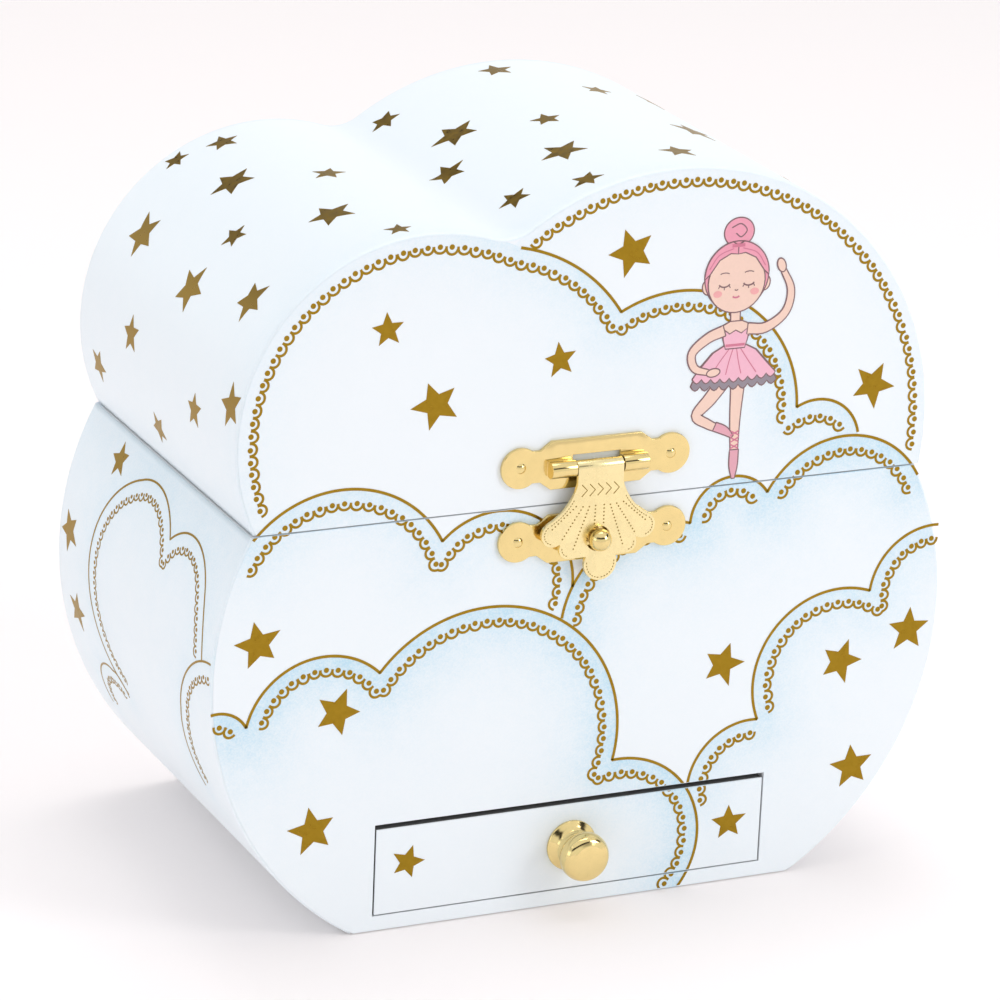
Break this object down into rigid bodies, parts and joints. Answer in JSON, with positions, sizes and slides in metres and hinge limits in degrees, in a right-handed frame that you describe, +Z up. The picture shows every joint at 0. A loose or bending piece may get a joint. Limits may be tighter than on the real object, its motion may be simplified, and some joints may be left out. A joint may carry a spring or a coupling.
{
  "type": "ballerina music jewellery box",
  "caption": "Cloud-shaped paper-covered jewellery box with a hinged mirrored lid, brass clasp, knobbed drawer and a key-wound music movement that turns a dancer.",
  "frame": {"origin": "middle of the flat bottom face, half way between the front and back faces", "axes": "+Z up, +X to the right seen from the front, the front with clasp and drawer faces -Y"},
  "size_m": [0.161, 0.1117, 0.154],
  "materials": {
    "wrap_paper": "satin printed paper, faint blue wash",
    "greyboard": "white lined board",
    "lining_paper": "matt pale pink lining",
    "velvet": "short pile velvet",
    "gold_foil": "hot-stamped gold foil",
    "clasp_brass": "polished, lacquered",
    "hinge_brass": "satin",
    "steel": "bright",
    "spring_steel": "blued",
    "bedplate_metal": "die cast, matt",
    "movement_brass": "turned",
    "gear_plastic": "moulded",
    "mirror_glass": "silvered",
    "turntable_plastic": "moulded",
    "doll_plastic": "painted",
    "tulle": "sheer net"
  },
  "bodies": {
    "base": {"base_bottom_board": "greyboard", "base_front_board": "greyboard", "base_back_board": "wrap_paper", "base_left_wall": "greyboard", "base_right_wall": "greyboard", "base_front_paper": "wrap_paper", "base_side_papers": "wrap_paper", "drawer_bay_walls": "greyboard", "drawer_shelf": "greyboard", "trough_riser": "lining_paper", "stage_board": "lining_paper", "spindle_bush": "hinge_brass", "trough_divider": "lining_paper", "ring_rolls": "velvet", "clasp_lower_plate": "clasp_brass", "clasp_stud": "clasp_brass", "base_clasp_nails": "clasp_brass", "base_hinge_leaves": "hinge_brass", "hinge_pins": "hinge_brass", "movement_bedplate": "bedplate_metal", "movement_screws": "steel", "music_comb": "steel", "governor_bracket": "bedplate_metal"},
    "lid": {"lid_front_board": "greyboard", "lid_back_board": "wrap_paper", "lid_top_band": "greyboard", "lid_front_paper": "wrap_paper", "lid_top_paper": "wrap_paper", "mirror_board": "lining_paper", "mirror": "mirror_glass", "clasp_upper_plate": "clasp_brass", "clasp_pin": "clasp_brass", "lid_clasp_nails": "clasp_brass", "lid_hinge_leaves": "hinge_brass", "stop_block": "greyboard"},
    "hasp": {"clasp_hasp": "clasp_brass"},
    "drawer": {"drawer_front_board": "greyboard", "drawer_front_paper": "wrap_paper", "drawer_left_side": "greyboard", "drawer_right_side": "greyboard", "drawer_back": "greyboard", "drawer_bottom": "greyboard", "drawer_lining": "velvet", "drawer_knob": "clasp_brass", "knob_screw": "steel"},
    "cylinder": {"music_cylinder": "movement_brass"},
    "barrel": {"spring_barrel": "movement_brass", "mainspring": "spring_steel", "winding_arbor": "steel", "winding_key": "hinge_brass"},
    "governor": {"governor_gear": "gear_plastic"},
    "fly": {"governor_fly": "gear_plastic"},
    "dancer": {"dancer_spindle": "steel", "dancer_turntable": "turntable_plastic", "dancer_spring": "steel", "dancer_figure": "doll_plastic", "dancer_tutu": "tulle"},
    "stop": {"stop_wire": "steel"}
  },
  "joints": [
    {"name": "lid_hinge", "type": "hinge", "parent": "base", "child": "lid", "pos_m": [0, 0.0463, 0.087], "axis": [-1, 0, 0], "range_deg": [0, 100]},
    {"name": "hasp_hinge", "type": "hinge", "parent": "lid", "child": "hasp", "pos_m": [0, -0.0458, 0.0948], "axis": [-1, 0, 0], "range_deg": [0, 150]},
    {"name": "drawer_slide", "type": "slide", "parent": "base", "child": "drawer", "axis": [0, -1, 0], "range_m": [0, 0.06]},
    {"name": "cylinder_spin", "type": "hinge", "parent": "base", "child": "cylinder", "pos_m": [0.024, 0.02165, 0.046], "axis": [1, 0, 0], "continuous": true},
    {"name": "barrel_spin", "type": "hinge", "parent": "base", "child": "barrel", "pos_m": [0, 0.03, 0.046], "axis": [0, 1, 0], "continuous": true},
    {"name": "governor_spin", "type": "hinge", "parent": "base", "child": "governor", "pos_m": [0.042, 0.02165, 0.0364], "axis": [1, 0, 0], "continuous": true},
    {"name": "fly_spin", "type": "hinge", "parent": "base", "child": "fly", "pos_m": [0.0425, 0.02775, 0.046], "axis": [0, 0, 1], "continuous": true},
    {"name": "dancer_spin", "type": "hinge", "parent": "base", "child": "dancer", "pos_m": [0, 0.02165, 0.07], "axis": [0, 0, 1], "continuous": true},
    {"name": "stop_slide", "type": "slide", "parent": "base", "child": "stop", "axis": [0, 0, 1], "range_m": [0, 0.0016]}
  ],
  "couplings": [
    {"joint": "barrel_spin", "follows": "cylinder_spin", "ratio": -0.26667},
    {"joint": "dancer_spin", "follows": "cylinder_spin", "ratio": 1},
    {"joint": "governor_spin", "follows": "cylinder_spin", "ratio": -3},
    {"joint": "fly_spin", "follows": "cylinder_spin", "ratio": 48},
    {"joint": "stop_slide", "follows": "lid_hinge", "m_per_rad": 0.00086}
  ]
}
